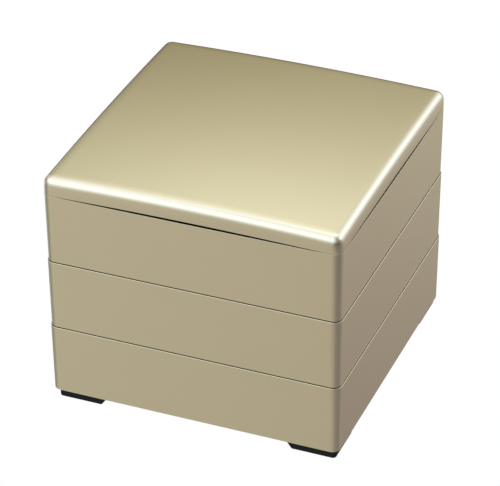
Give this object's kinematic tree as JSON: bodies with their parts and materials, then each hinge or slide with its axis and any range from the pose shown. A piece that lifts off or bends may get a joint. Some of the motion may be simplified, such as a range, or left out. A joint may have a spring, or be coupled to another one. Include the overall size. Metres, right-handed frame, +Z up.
{
  "type": "tiered food box",
  "caption": "Square three-tier food box: open trays with rounded corners that stack under a gently crowned lift-off lid, on low black corner feet.",
  "frame": {"origin": "centre of the footprint, on the surface that the feet stand on", "axes": "+Z up through the stack, +X to the right and +Y to the back as seen from the front"},
  "size_m": [0.195, 0.195, 0.1653],
  "materials": {
    "lid_paint": "pearl champagne gold paint, satin gloss",
    "tier_paint": "pearl champagne gold paint, satin gloss",
    "foot_rubber": "matte black"
  },
  "bodies": {
    "root": {"lid": "lid_paint", "tier_top": "tier_paint", "tier_middle": "tier_paint", "tier_bottom": "tier_paint", "foot_front_left": "foot_rubber", "foot_front_right": "foot_rubber", "foot_back_left": "foot_rubber", "foot_back_right": "foot_rubber"}
  },
  "joints": []
}
